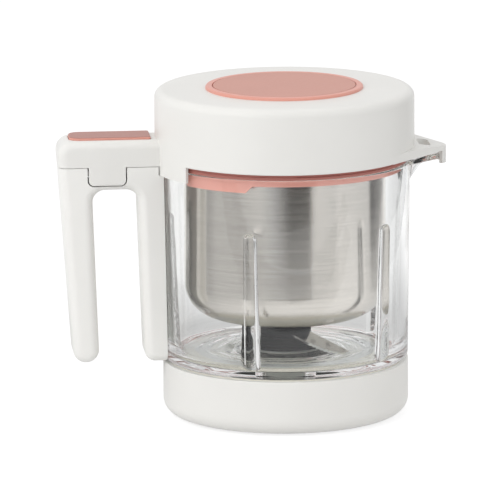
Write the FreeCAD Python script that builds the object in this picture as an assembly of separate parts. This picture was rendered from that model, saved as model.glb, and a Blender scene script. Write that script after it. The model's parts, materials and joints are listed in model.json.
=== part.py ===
import FreeCAD, Part
import math
import os

# Cooking and blending jug of a baby food maker: a ribbed glass jug on a moulded base, with a steel
# steaming basket hung from a soft ring, a blade unit in the floor, an open handle and a lift-off lid
# whose arm snaps onto the handle.
# Millimetres. +Z is up, the origin is on the jug's axis in the plane that its foot ring stands on,
# +X points at the spout, and the handle is on the -X side.

# General clearances
slip = 0.05  # between pieces fitted into one another in one assembly
running = 0.03  # radial clearance of the shaft in its bushes
moving = 0.3  # between pieces that move past one another
parting = 0.3  # open line between the lid's arm and the handle
screw_clearance = 0.1  # round a screw that passes through a piece
head_clearance = 0.2  # round a screw's head in its recess
overcut = 1.0  # how far a cut runs past the face that it opens
edge_break = 0.6  # small rounding of moulded edges
line_round = 0.3  # rounding beside a fine open line

# Glass jug
jug_rim_radius = 70.8
jug_draft = 1.5  # rim radius less foot radius
jug_height = 113.8
jug_floor = 6.0
jug_wall_rim = 4.0
jug_wall_foot = 5.6
jug_heel_radius = 3.5
jug_bowl_corner = 8.0
jug_rim_round = 1.2

# Ribs inside the glass
rib_count = 5
rib_phase = -40.3  # degrees from +X
rib_foot_radius = 4.8
rib_top_radius = 3.8
rib_depth = 3.8  # at the floor
rib_height = 77.0

# Glass spout
spout_reach = 9.7
spout_radius = 18.0
spout_root_radius = 1.5
spout_drop = 14.5
spout_bury = 0.8  # root of the spout inside the jug's wall
spout_wall = 3.0
nose_reach = 17.4  # tip of the pouring nose beyond the jug's rim
nose_tip_radius = 6.3
nose_thickness = 3.0

# Glass rail that carries the handle
rail_neck_width = 8.0
rail_head_width = 14.0
rail_head = 2.0
rail_start = 22.0  # above the jug's underside
rail_length = 66.0
rail_lead = 0.4  # clearance between the rail and the handle's slot

# Base
base_height = 30.9
base_step = 0.1  # base radius less the jug's foot radius
base_wall = 2.8
base_edge_radius = 8.5
base_well_wall = 2.0
jug_seam = 0.4  # open line between the glass and the base
carrier_thickness = 3.5
carrier_boss_radius = 4.5
carrier_rim = 6.0  # height of the skirt that centres the carrier in the base
carrier_rim_wall = 2.5
carrier_chamfer = 1.0
gasket_thickness = 1.2
gasket_width = 8.0
gasket_middle_radius = 48.0
base_screw_circle = 42.0
base_screw_count = 4
base_screw_length = 16.0
foot_proud = 0.6
foot_sink = 1.0
foot_width = 6.0
foot_middle_radius = 54.0

# Screws
screw_radius = 1.75
screw_head_radius = 3.4
screw_head_height = 1.5

# Bearing housing in the jug's floor
shaft_radius = 4.0
bush_wall = 2.5
bush_length = 7.0
housing_wall = 4.5
housing_flange_radius = 22.3
housing_flange_edge = 1.2
housing_step_radius = 18.3
housing_step_foot = 2.0  # foot of the step above the flange's underside
housing_step_top = 2.9
housing_height = 5.1  # top of the housing above its flange's underside
housing_neck_radius = 14.8
shaft_relief = 1.0  # radial gap round the shaft between its bushes
floor_gasket = 1.0
floor_gasket_inset = 1.0  # gasket edge inside the flange edge
seal_height = 3.0
seal_radius = 8.6
seal_lip = 0.8
seal_recess = 1.6  # width of the recess under the seal's lip
nut_height = 6.0
nut_across_flats = 36.0
stem_tail = 2.0  # stem below the nut

# Blade unit
hub_radius = 14.4
hub_height = 10.1
hub_headroom = 2.0  # below the basket
hub_round = 2.5
hub_gap = 0.6  # above the housing
hub_groove = 0.8
shaft_cover = 3.0  # hub above the shaft's end
blade_thickness = 1.5
blade_width = 13.0
blade_radius = 48.0
blade_droop = 11.0  # degrees
blade_root = 9.3  # where the wings start to droop
blade_sweep = 7.0  # how far each tip trails
blade_tip_edge = 1.5
blade_tip_slant = 2.0
blade_phase = -53.0  # degrees from +X at rest
blade_lift = 1.6  # blade underside above the hub's underside
tooth_pitch = 2.6
tooth_depth = 1.1
tooth_count = 7

# Drive coupling
socket_radius = 7.0
socket_depth = 8.0
coupling_wall = 5.0
coupling_neck_wall = 4.0
coupling_neck = 5.0
coupling_recess = 3.2  # mouth above the plane that the jug stands on
coupling_roof = 1.5  # straight side above the socket
coupling_taper = 1.5
coupling_round = 1.0
drive_slot_count = 3
drive_slot_width = 2.6
drive_slot_depth = 2.2
clip_thickness = 1.0
clip_width = 2.6
clip_bite = 0.6
clip_mouth = 6.4
washer_thickness = 0.6
well_clearance = 4.0

# Steaming basket and its ring
basket_gap = 9.8  # bowl radius at the rim less basket radius
basket_corner = 19.0
basket_flange = 5.0
basket_root = 0.6  # radius under the flange
steel = 0.8
steam_hole_radius = 1.6
steam_hole_pitch = 9.0
steam_hole_rings = 4
ring_clearance = 0.6
ring_flange = 2.0
ring_overlap = 3.0  # flange over the glass rim
ring_ledge_drop = 1.5  # ledge below the rim
ring_collar = 4.0  # collar below the rim
ring_tab_drop = 3.8  # tabs below the collar
ring_tab_wall = 3.0
ring_tab_count = 2
ring_tab_angle = 40.0
ring_tab_phase = -131.0
ring_tab_slant = 45.0  # degrees, of the tabs' ends

# Lid
lid_height = 36.9
lid_wall = 2.6
lid_edge_radius = 4.8
lid_lower_round = 0.8
lap_wall = 1.8  # lap of the lid outside the glass, on the handle side
lap_clearance = 0.6
lap_drop = 8.8
lap_half_angle = 36.0
lap_root = 2.0  # lap above the lid's lower edge
lid_seal_show = 1.5
lid_seal_width = 6.5
lid_seal_rib = 2.0
lid_seal_rib_height = 1.5
liner_inset = 1.0  # liner underside above the lid's lower edge
liner_thickness = 3.0
filler_radius = 37.0
filler_wall = 2.0
lid_post_radius = 4.0
lid_post_circle = 54.0
lid_post_count = 4
lid_screw_length = 10.0

# Filler cap
cap_radius = 44.4
cap_proud = 1.7
cap_round = 1.2
cap_inlay_inset = 3.8
cap_inlay_depth = 1.2
cap_inlay_line = 0.4
cap_plug_wall = 2.0
cap_plug_length = 26.0
cap_plug_clearance = 0.4
cap_seal_height = 3.0
cap_seal_sink = 1.1
cap_seal_drop = 13.0
cap_seal_crest = 1.0

# Spout cover on the lid
beak_reach = 18.3  # beyond the lid
beak_tip_radius = 9.5
beak_root = 4.8  # thickness at the lid's wall
beak_end = 2.3  # thickness at the tip
beak_lip_drop = 7.2
beak_lip_wall = 2.2
beak_lip_angle = 45.0
pour_slot_start = 2.0  # beyond the lid
pour_slot_length = 6.8
pour_slot_half_width = 9.5
pour_slot_round = 3.0

# Handle and the lid's arm above it
grip_width = 30.0
grip_wall = 2.6
grip_edge_radius = 5.0
inner_leg_top = 13.0
inner_leg_foot = 11.3
finger_gap = 25.7
grip_top = 17.8
grip_foot = 14.4
grip_foot_height = 1.5  # legs end this far above the base
gap_drop = 13.3  # top of the finger gap below the parting line
gap_corner = 7.0
leg_corner = 6.0
handle_drop = 4.15  # parting line below the lid's lower edge
arm_rise = 15.0
arm_corner = 8.0
arm_root_wall = 1.0  # between the arm's hollow and the lid
arm_bury = 10.6  # how far the arm's blank starts inside the lid's wall
tongue_start = 6.9  # from the inner leg's face
tongue_width = 20.8
tongue_drop = 10.2
tongue_corner = 3.0
tongue_gap = 0.7
catch_drop = 2.2  # catch plate's top below the parting line
catch_thickness = 2.2
catch_post_radius = 3.5
catch_post_drop = 2.0  # posts below the finger gap's top
catch_rib = 2.0
catch_screw_length = 8.0

# Release button and latch
button_length = 45.6
button_width = 20.5
button_start = 3.0  # from the lid
button_proud = 1.4
button_wall = 2.0
button_lip = 0.7
button_lip_height = 1.5
button_line = 0.4
button_depth = 7.0
button_travel = 3.0
button_corner = 1.5
button_end_radius = 6.0
plunger_radius = 2.0
plunger_from_leg = 1.9
cover_thickness = 2.0
spring_radius = 4.0
spring_from_end = 8.2  # spring axis from the button's outer end
spring_wire = 0.8
spring_turns = 5
spring_post_radius = 2.8
spring_post_height = 3.0
latch_thickness = 0.8
latch_width = 8.0
latch_foot = 9.5
latch_hook = 1.8
latch_hook_height = 1.4
latch_play = 0.3
latch_slot_lead = 1.0
latch_hook_nose = 0.3
latch_peg_radius = 1.4
latch_peg_proud = 0.4
latch_peg_from_leg = 6.2

# Levels and radii that follow from the sizes
base_bottom = foot_proud
base_top = base_bottom + base_height
jug_bottom = base_top + jug_seam
floor_top = jug_bottom + jug_floor
rim = jug_bottom + jug_height
jug_foot_radius = jug_rim_radius - jug_draft
base_radius = jug_foot_radius + base_step
bowl_rim_radius = jug_rim_radius - jug_wall_rim
bowl_foot_radius = jug_foot_radius - jug_wall_foot

ring_top = rim + ring_flange
ring_ledge = rim - ring_ledge_drop
basket_radius = bowl_rim_radius - basket_gap

lid_bottom = ring_top + lid_seal_show
lid_top = lid_bottom + lid_height
lid_radius = jug_rim_radius + lap_clearance + lap_wall
lid_inner_radius = lid_radius - lid_wall
liner_bottom = lid_bottom + liner_inset
liner_top = liner_bottom + liner_thickness

lap_bottom = lid_bottom - lap_drop
handle_top = lid_bottom - handle_drop
arm_top = handle_top + arm_rise
gap_top = handle_top - gap_drop
legs_bottom = base_top + grip_foot_height
tongue_bottom = handle_top - tongue_drop
catch_top = handle_top - catch_drop
cover_bottom = handle_top + parting / 2
cover_top = cover_bottom + cover_thickness

bush_radius = shaft_radius + bush_wall
stem_radius = bush_radius + housing_wall
carrier_bottom = jug_bottom - carrier_thickness
flange_bottom = floor_top + floor_gasket
housing_top = flange_bottom + housing_height
stem_bottom = carrier_bottom - nut_height - stem_tail
hub_bottom = housing_top + hub_gap
hub_top = hub_bottom + hub_height
basket_bottom = hub_top + hub_headroom
blade_bottom = hub_bottom + blade_lift
socket_roof = coupling_recess + socket_depth
coupling_top = socket_roof + coupling_neck
coupling_radius = socket_radius + coupling_wall
well_radius = coupling_radius + well_clearance

UP = FreeCAD.Vector(0, 0, 1)
ORIGIN = FreeCAD.Vector(0, 0, 0)


def point(x, y, z):
    return FreeCAD.Vector(x, y, z)


# Outlines and solids made from them


def rounded_wire(corners, place):
    """Closed wire through (u, v, radius) corners, each rounded by its radius. place puts (u, v) in space."""
    turns = []
    for number, (u, w, radius) in enumerate(corners):
        here = point(u, w, 0)
        back = point(*corners[number - 1][:2], 0) - here
        ahead = point(*corners[(number + 1) % len(corners)][:2], 0) - here
        back.normalize()
        ahead.normalize()
        if radius == 0:
            turns.append((here, None, here))
            continue
        half = back.getAngle(ahead) / 2
        inward = back + ahead
        inward.normalize()
        trim = radius / math.tan(half)
        middle = here + inward * (radius / math.sin(half) - radius)
        turns.append((here + back * trim, middle, here + ahead * trim))
    edges = []
    for number, (start, middle, end) in enumerate(turns):
        before = turns[number - 1][2]
        if before.distanceToPoint(start) > 1e-6:
            edges.append(Part.LineSegment(place(before), place(start)).toShape())
        if middle is not None:
            edges.append(Part.Arc(place(start), place(middle), place(end)).toShape())
    return Part.Wire(edges)


def turned(*corners):
    """Solid of revolution about Z. Corners are (radius, height) or (radius, height, rounding)."""
    full = [(*corner, 0)[:3] for corner in corners]
    wire = rounded_wire(full, lambda p: point(p.x, 0, p.y))
    return Part.Face(wire).revolve(ORIGIN, UP, 360)


def plan(corners, bottom, height):
    """Prism that stands on a plan outline of (x, y, rounding) corners."""
    wire = rounded_wire(corners, lambda p: point(p.x, p.y, bottom))
    return Part.Face(wire).extrude(UP * height)


def side(corners, middle, width):
    """Prism across Y, centred on y = middle, whose side view has (x, z, rounding) corners."""
    wire = rounded_wire(corners, lambda p: point(p.x, middle - width / 2, p.y))
    return Part.Face(wire).extrude(point(0, width, 0))


def disc(radius, bottom, top, x=0.0, y=0.0):
    return Part.makeCylinder(radius, top - bottom, point(x, y, bottom))


def tube(inner, outer, bottom, top):
    return disc(outer, bottom, top).cut(disc(inner, bottom, top))


def block(low, high):
    return Part.makeBox(*(high - low), low)


def around(count, radius, phase=0.0):
    """(x, y) places of a pattern on a circle."""
    step = 2 * math.pi / count
    start = math.radians(phase)
    return [(radius * math.cos(start + i * step), radius * math.sin(start + i * step)) for i in range(count)]


def wedge(radius, bottom, top, middle, half_angle):
    """Sector of a disc about Z, for keeping part of a ring."""
    sector = Part.makeCylinder(radius, top - bottom, point(0, 0, bottom), UP, 2 * half_angle)
    sector.rotate(ORIGIN, UP, middle - half_angle)
    return sector


def joined(first, *others):
    return first.multiFuse(list(others)).removeSplitter()


def group(solids):
    return Part.makeCompound(list(solids))


def screw(x, y, head_face, length, up=True):
    """Screw whose head rests at head_face, with its shank pointing up or down."""
    sense = 1 if up else -1
    head = Part.makeCylinder(screw_head_radius, screw_head_height, point(x, y, head_face), UP * -sense)
    shank = Part.makeCylinder(screw_radius, length, point(x, y, head_face), UP * sense)
    recess = Part.makeCylinder(screw_radius, screw_head_height / 2,
                               point(x, y, head_face - sense * screw_head_height), UP * sense)
    return joined(head, shank).cut(recess)


# Glass jug


def jug_radius(height):
    """Outer radius of the glass at a height."""
    return jug_foot_radius + jug_draft * (height - jug_bottom) / jug_height


def bowl_radius(height):
    """Inner radius of the glass at a height."""
    share = (height - floor_top) / (rim - floor_top)
    return bowl_foot_radius + (bowl_rim_radius - bowl_foot_radius) * share


def jug_cone(bottom, top, grow):
    """Solid that follows the outside of the glass, grown outward."""
    return Part.makeCone(jug_radius(bottom) + grow, jug_radius(top) + grow, top - bottom, point(0, 0, bottom))


def spout_cone(bottom, top, inset):
    """Leaning cone of the spout between two heights, its wall inset from the outside."""
    low = rim - spout_drop
    sections = []
    for height in (bottom, top):
        share = (height - low) / spout_drop
        radius = spout_root_radius + (spout_radius - spout_root_radius) * share
        root_middle = jug_radius(low) - spout_root_radius - spout_bury
        middle = root_middle + (jug_rim_radius + spout_reach - spout_radius - root_middle) * share
        sections.append(Part.Wire(Part.makeCircle(radius - inset, point(middle, 0, height))))
    return Part.makeLoft(sections, True, True)


def nose_plate(middle, radius, tip, tip_radius, bottom, height):
    """Prism round a disc at x = middle and a smaller one at x = tip, joined by straight sides."""
    touch = math.acos((radius - tip_radius) / (tip - middle))
    x, y = math.cos(touch), math.sin(touch)
    start = point(middle, 0, bottom)
    wall_start = start + point(radius * x, -radius * y, 0)
    wall_end = start + point(radius * x, radius * y, 0)
    tip_start = point(tip + tip_radius * x, -tip_radius * y, bottom)
    tip_end = point(tip + tip_radius * x, tip_radius * y, bottom)
    outline = Part.Wire([
        Part.LineSegment(start, wall_start).toShape(),
        Part.LineSegment(wall_start, tip_start).toShape(),
        Part.Arc(tip_start, point(tip + tip_radius, 0, bottom), tip_end).toShape(),
        Part.LineSegment(tip_end, wall_end).toShape(),
        Part.LineSegment(wall_end, start).toShape(),
    ])
    return Part.Face(outline).extrude(UP * height)


def spout_nose():
    """Flat pouring nose at the top of the spout."""
    middle = jug_rim_radius + spout_reach - spout_radius
    tip = jug_rim_radius + nose_reach - nose_tip_radius
    return nose_plate(middle, spout_radius, tip, nose_tip_radius, rim - nose_thickness, nose_thickness)


def jug_rib(angle):
    """Rib that leans with the bowl's wall, with a round upper end."""
    slope = math.atan2(bowl_rim_radius - bowl_foot_radius, rim - floor_top)
    middle = bowl_foot_radius + rib_foot_radius - rib_depth
    length = rib_height - rib_top_radius
    rib = joined(
        Part.makeCone(rib_foot_radius, rib_top_radius, length, point(middle, 0, floor_top)),
        Part.makeSphere(rib_top_radius, point(middle, 0, floor_top + length)),
    )
    rib.rotate(point(middle, 0, floor_top), point(0, 1, 0), math.degrees(slope))
    rib.rotate(ORIGIN, UP, angle)
    return rib


def rail_levels():
    return jug_bottom + rail_start, jug_bottom + rail_start + rail_length


def rail_shape(grow, drop):
    """T-shaped rail on the back of the glass, grown by a clearance and drawn downward for the slot."""
    low, high = rail_levels()
    neck_out = jug_rim_radius + moving + grip_wall + rail_lead
    head_out = neck_out + rail_head
    neck = block(point(-neck_out - grow, -rail_neck_width / 2 - grow, low - drop),
                 point(-bowl_rim_radius, rail_neck_width / 2 + grow, high + grow))
    head = block(point(-head_out - grow, -rail_head_width / 2 - grow, low - drop),
                 point(-neck_out + grow, rail_head_width / 2 + grow, high + grow))
    return joined(neck, head)


def glass_jug():
    outside = turned(
        (0, jug_bottom), (jug_foot_radius, jug_bottom, jug_heel_radius),
        (jug_rim_radius, rim, jug_rim_round), (0, rim),
    )
    low = rim - spout_drop
    outside = joined(outside, spout_cone(low, rim, 0), spout_nose(), rail_shape(0, 0))
    bowl = turned(
        (0, floor_top), (bowl_foot_radius, floor_top, jug_bowl_corner),
        (bowl_radius(rim + overcut), rim + overcut), (0, rim + overcut),
    )
    inner_low = low + spout_drop * spout_wall / (spout_radius - spout_root_radius)
    glass = outside.cut(bowl).cut(spout_cone(inner_low, rim + overcut, spout_wall))
    solid_wall = turned(
        (0, jug_bottom), (jug_foot_radius, jug_bottom, jug_heel_radius), (jug_rim_radius, rim), (0, rim),
    )
    for number in range(rib_count):
        rib = jug_rib(rib_phase + number * 360 / rib_count)
        glass = glass.fuse(rib.common(solid_wall))
    glass = glass.removeSplitter()
    return glass.cut(disc(stem_radius + moving, jug_bottom - overcut, floor_top + overcut))


# Base


def base_cup():
    lip = base_bottom + base_wall
    cup = turned(
        (well_radius, base_bottom), (base_radius, base_bottom, base_edge_radius),
        (base_radius, base_top, edge_break), (base_radius - base_wall, base_top),
        (base_radius - base_wall, lip, base_edge_radius - base_wall),
        (well_radius + base_well_wall, lip), (well_radius + base_well_wall, socket_roof),
        (well_radius, socket_roof),
    )
    for x, y in around(base_screw_count, base_screw_circle):
        seat = base_bottom + screw_head_height + slip
        cup = cup.cut(disc(screw_head_radius + head_clearance, base_bottom, seat, x, y))
        cup = cup.cut(disc(screw_radius + screw_clearance, base_bottom, lip, x, y))
    return cup.cut(foot_band(slip, base_bottom))


def foot_band(grow, bottom):
    """Ring under the base from a height up to the end of its groove, widened by a clearance."""
    half = foot_width / 2 + grow
    return tube(foot_middle_radius - half, foot_middle_radius + half, bottom, base_bottom + foot_sink)


def foot_ring():
    return foot_band(0, base_bottom - foot_proud)


def gasket_radii():
    return gasket_middle_radius - gasket_width / 2, gasket_middle_radius + gasket_width / 2


def jug_carrier():
    edge = base_radius - base_wall - moving
    skirt = edge - carrier_rim_wall
    inner, outer = gasket_radii()
    carrier = turned(
        (stem_radius + screw_clearance, carrier_bottom), (skirt, carrier_bottom),
        (skirt, carrier_bottom - carrier_rim), (edge, carrier_bottom - carrier_rim),
        (edge, jug_bottom - carrier_chamfer), (edge - carrier_chamfer, jug_bottom),
        (outer + slip, jug_bottom), (outer + slip, jug_bottom - gasket_thickness),
        (inner - slip, jug_bottom - gasket_thickness), (inner - slip, jug_bottom),
        (stem_radius + screw_clearance, jug_bottom),
    )
    floor = base_bottom + base_wall
    for x, y in around(base_screw_count, base_screw_circle):
        carrier = carrier.fuse(disc(carrier_boss_radius, floor, carrier_bottom, x, y))
    carrier = carrier.removeSplitter()
    for x, y in around(base_screw_count, base_screw_circle):
        carrier = carrier.cut(disc(screw_radius + slip, floor, floor + base_screw_length, x, y))
    return carrier


def jug_gasket():
    inner, outer = gasket_radii()
    return tube(inner, outer, jug_bottom - gasket_thickness, jug_bottom)


def base_screws():
    seat = base_bottom + screw_head_height + slip
    return group(
        screw(x, y, seat, base_screw_length - slip)
        for x, y in around(base_screw_count, base_screw_circle)
    )


# Bearing housing and what it holds


def bush_levels():
    """(bottom, top) of the lower and the upper bush."""
    upper_top = housing_top - seal_height
    return (stem_bottom, stem_bottom + bush_length), (upper_top - bush_length, upper_top)


def bearing_housing():
    (_, lower_top), (upper_bottom, upper_top) = bush_levels()
    bore = shaft_radius + shaft_relief
    return turned(
        (bush_radius + slip, stem_bottom), (stem_radius, stem_bottom), (stem_radius, flange_bottom),
        (housing_flange_radius, flange_bottom), (housing_flange_radius, flange_bottom + housing_flange_edge),
        (housing_step_radius, flange_bottom + housing_step_foot),
        (housing_step_radius, flange_bottom + housing_step_top),
        (housing_neck_radius, housing_top), (seal_radius + slip, housing_top),
        (seal_radius + slip, upper_top),
        (bush_radius + slip, upper_top), (bush_radius + slip, upper_bottom), (bore, upper_bottom),
        (bore, lower_top), (bush_radius + slip, lower_top),
    )


def housing_gasket():
    return tube(stem_radius + slip, housing_flange_radius - floor_gasket_inset, floor_top, flange_bottom)


def bush(levels):
    return tube(shaft_radius + running, bush_radius, *levels)


def shaft_seal():
    _, (_, upper_top) = bush_levels()
    lip = shaft_radius + slip
    lip_bottom = housing_top - seal_lip
    return turned(
        (lip, lip_bottom), (lip, housing_top), (seal_radius, housing_top), (seal_radius, upper_top),
        (lip + seal_recess, upper_top), (lip + seal_recess, lip_bottom),
    )


def bearing_nut():
    corner = nut_across_flats / 2 / math.cos(math.pi / 6)
    hexagon = plan([(x, y, 0) for x, y in around(6, corner)], carrier_bottom - nut_height, nut_height)
    return hexagon.cut(disc(stem_radius + slip, carrier_bottom - nut_height, carrier_bottom))


# Blade unit


def blade_wing():
    """Wing along +X with a swept back edge and a toothed leading edge, drooping towards its tip."""
    half = blade_width / 2
    teeth_start = blade_radius - tooth_pitch * (tooth_count + 1)
    leading = [(blade_root, -half), (teeth_start, -half)]
    for number in range(tooth_count):
        valley = teeth_start + tooth_pitch * (number + 0.5)
        sweep = blade_sweep * ((valley - teeth_start) / (blade_radius - teeth_start)) ** 2
        leading.append((valley, -half + tooth_depth + sweep))
        leading.append((valley + tooth_pitch / 2, -half + sweep))
    tip = [(blade_radius, -half + blade_sweep + blade_tip_edge), (blade_radius - blade_tip_slant, half)]
    outline = [(x, y, 0) for x, y in leading + tip + [(blade_root, half)]]
    wing = plan(outline, blade_bottom, blade_thickness)
    wing.rotate(point(blade_root, 0, blade_bottom + blade_thickness / 2), point(0, 1, 0), blade_droop)
    return wing


def blade_blank():
    near = blade_wing()
    far = near.copy()
    far.rotate(ORIGIN, UP, 180)
    strip_end = blade_root + overcut
    strip = block(point(-strip_end, -blade_width / 2, blade_bottom),
                  point(strip_end, blade_width / 2, blade_bottom + blade_thickness))
    blade = joined(strip, near, far)
    blade.rotate(ORIGIN, UP, blade_phase)
    return blade


def cutting_blade():
    hole = disc(shaft_radius + slip, blade_bottom - overcut, blade_bottom + blade_thickness + overcut)
    return blade_blank().cut(hole)


def blade_hub():
    groove_height = hub_bottom + (hub_top - hub_bottom) / 2
    hub = turned(
        (0, hub_bottom), (hub_radius, hub_bottom, edge_break),
        (hub_radius, groove_height - hub_groove), (hub_radius - hub_groove, groove_height),
        (hub_radius, groove_height + hub_groove), (hub_radius, hub_top, hub_round), (0, hub_top),
    )
    hub = hub.cut(disc(shaft_radius + slip, hub_bottom, shaft_top() + slip))
    return hub.cut(blade_blank())


def shaft_top():
    return hub_top - shaft_cover


def clip_levels():
    top = stem_bottom - washer_thickness - slip * 2
    return top - clip_thickness, top


def blade_shaft():
    low, high = clip_levels()
    shaft = disc(shaft_radius, socket_roof, shaft_top())
    return shaft.cut(tube(shaft_radius - clip_bite, shaft_radius + overcut, low - slip, high + slip))


def thrust_washer():
    top = stem_bottom - slip
    return tube(shaft_radius + slip, bush_radius, top - washer_thickness, top)


def shaft_clip():
    low, high = clip_levels()
    ring = tube(shaft_radius - clip_bite + slip, shaft_radius + clip_width, low, high)
    mouth = block(point(0, -clip_mouth / 2, low), point(shaft_radius + clip_width, clip_mouth / 2, high))
    return ring.cut(mouth)


def drive_coupling():
    neck = shaft_radius + coupling_neck_wall
    body = turned(
        (socket_radius, coupling_recess), (coupling_radius, coupling_recess, coupling_round),
        (coupling_radius, socket_roof + coupling_roof), (neck, socket_roof + coupling_roof + coupling_taper),
        (neck, coupling_top),
        (shaft_radius + slip, coupling_top), (shaft_radius + slip, socket_roof),
        (socket_radius, socket_roof),
    )
    for number in range(drive_slot_count):
        slot = block(point(0, -drive_slot_width / 2, coupling_recess),
                     point(socket_radius + drive_slot_depth, drive_slot_width / 2, socket_roof))
        slot.rotate(ORIGIN, UP, number * 360 / drive_slot_count)
        body = body.cut(slot.cut(disc(socket_radius - slip, coupling_recess, socket_roof)))
    return body


# Steaming basket


def basket():
    inner = basket_radius - steel
    bowl = turned(
        (0, basket_bottom), (basket_radius, basket_bottom, basket_corner),
        (basket_radius, ring_ledge, basket_root), (basket_radius + basket_flange, ring_ledge),
        (basket_radius + basket_flange, ring_ledge + steel),
        (inner, ring_ledge + steel, basket_root + steel),
        (inner, basket_bottom + steel, basket_corner - steel), (0, basket_bottom + steel),
    )
    places = [(0, 0)]
    for number in range(1, steam_hole_rings + 1):
        places += around(6 * number, steam_hole_pitch * number)
    low = basket_bottom - overcut
    high = basket_bottom + steel + overcut
    return bowl.cut(group(disc(steam_hole_radius, low, high, x, y) for x, y in places))


def basket_ring():
    outer = bowl_rim_radius - ring_clearance
    inner = basket_radius + moving
    seat = basket_radius + basket_flange + moving
    collar_bottom = rim - ring_collar
    ring = turned(
        (inner, collar_bottom), (outer, collar_bottom, edge_break), (outer, rim), (outer + ring_overlap, rim),
        (outer + ring_overlap, ring_top, edge_break), (seat, ring_top, edge_break), (seat, ring_ledge),
        (inner, ring_ledge, basket_root + moving),
    )
    tab_bottom = collar_bottom - ring_tab_drop
    tab_top = collar_bottom + overcut
    tabs = tube(outer - ring_tab_wall, outer, tab_bottom, tab_top)
    for number in range(ring_tab_count):
        angle = ring_tab_phase + number * 360 / ring_tab_count
        tab = tabs.common(wedge(outer + overcut, tab_bottom, tab_top, angle, ring_tab_angle / 2))
        for sense in (-1, 1):
            tab = tab.cut(tab_slant(angle + sense * ring_tab_angle / 2, sense, outer, collar_bottom))
        ring = ring.fuse(tab)
    return ring.removeSplitter()


def tab_slant(angle, sense, outer, top):
    """Block that slants the end of a tab, from its upper corner inward and down."""
    reach = 3 * ring_tab_drop
    low = point(outer - ring_tab_wall - overcut, 0, -reach)
    high = point(outer + overcut, reach, reach)
    cut = block(low, high)
    if sense < 0:
        cut.rotate(ORIGIN, point(1, 0, 0), 180)
    cut.rotate(ORIGIN, point(1, 0, 0), -sense * ring_tab_slant)
    cut.translate(UP * top)
    cut.rotate(ORIGIN, UP, angle)
    return cut


# Handle and the lid's arm, cut from one blank so that their faces line up


def grip_start():
    """Distance from the axis at which the blank starts. That end is cut away by the jug and the lid."""
    return lid_inner_radius - arm_bury


def grip_end(height):
    """Distance from the axis to the handle's outer face, which leans out towards the top."""
    top_end = jug_rim_radius + inner_leg_top + finger_gap + grip_top
    foot_end = jug_foot_radius + inner_leg_foot + finger_gap + grip_foot
    return foot_end + (top_end - foot_end) * (height - legs_bottom) / (gap_top - legs_bottom)


def grip_outline(inset):
    """Side view of the handle and the arm, moved inward by an inset."""
    inside = grip_start()
    top_face = jug_rim_radius + inner_leg_top
    foot_face = jug_foot_radius + inner_leg_foot
    arm_end = grip_end(arm_top) - inset
    foot_end = grip_end(legs_bottom) - inset
    end_radius = grip_foot / 2 - slip - inset
    return [
        (-inside, arm_top - inset, 0),
        (-arm_end, arm_top - inset, arm_corner - inset),
        (-foot_end, legs_bottom + inset, end_radius),
        (-(foot_face + finger_gap) - inset, legs_bottom + inset, end_radius),
        (-(top_face + finger_gap) - inset, gap_top + inset, gap_corner + inset),
        (-top_face + inset, gap_top + inset, gap_corner + inset),
        (-foot_face + inset, legs_bottom + inset, leg_corner - inset),
        (-inside, legs_bottom + inset, 0),
    ]


def grip_blank():
    blank = side(grip_outline(0), 0, grip_width)
    start = -grip_start() - slip
    half = grip_width / 2
    edges = [
        edge for edge in blank.Edges
        if abs(abs(edge.CenterOfMass.y) - half) < slip and edge.CenterOfMass.x < start
    ]
    return blank.makeFillet(grip_edge_radius, edges)


def grip_hollow():
    return side(grip_outline(grip_wall), 0, grip_width - 2 * grip_wall)


def slab(bottom, top):
    """Everything between two heights, wide enough for the handle and the lid."""
    reach = 3 * lid_radius
    return block(point(-reach, -reach, bottom), point(reach, reach, top))


def tongue_prism(grow, sense):
    """Outline of the tongue that hangs from the arm into the handle's face, on one side."""
    right = -(jug_rim_radius + inner_leg_top + tongue_start)
    left = right - tongue_width
    over = handle_top + parting
    outline = [
        (left - grow, over, 0), (left - grow, tongue_bottom - grow, tongue_corner + grow),
        (right + grow, tongue_bottom - grow, tongue_corner + grow), (right + grow, over, 0),
    ]
    return side(outline, sense * (grip_width - grip_wall) / 2, grip_wall)


def catch_posts():
    """Centres of the posts that carry the catch plate, one in each leg."""
    top_face = jug_rim_radius + inner_leg_top
    inner = jug_rim_radius + moving + grip_wall + catch_post_radius
    return [-(top_face + finger_gap + grip_top / 2), -inner]


def handle_shell(blank):
    shell = blank.common(slab(0, handle_top - parting / 2))
    low, high = legs_bottom - overcut, rim + overcut
    shell = shell.cut(grip_hollow().cut(jug_cone(low, high, moving + grip_wall)))
    seat = catch_top - catch_thickness
    posts_bottom = gap_top - catch_post_drop
    across = (grip_width - grip_wall) / 2
    for x in catch_posts():
        post = disc(catch_post_radius, posts_bottom, seat, x)
        rib = block(point(x - catch_rib / 2, -across, posts_bottom), point(x + catch_rib / 2, across, seat))
        shell = shell.fuse(post.fuse(rib))
        shell = shell.cut(disc(screw_radius + slip, seat - catch_screw_length, seat, x))
    shell = shell.cut(jug_cone(low, high, moving))
    shell = shell.cut(disc(lid_radius + lap_clearance, lap_bottom - parting, handle_top))
    for sense in (-1, 1):
        shell = shell.cut(tongue_prism(tongue_gap, sense))
    rail_low, _ = rail_levels()
    return shell.cut(rail_shape(rail_lead, rail_low - low)).removeSplitter()


def latch_leg():
    """x of the back of the latch's upright leg: it passes midway through the finger gap's roof."""
    return -(jug_rim_radius + inner_leg_top + finger_gap / 2)


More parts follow.
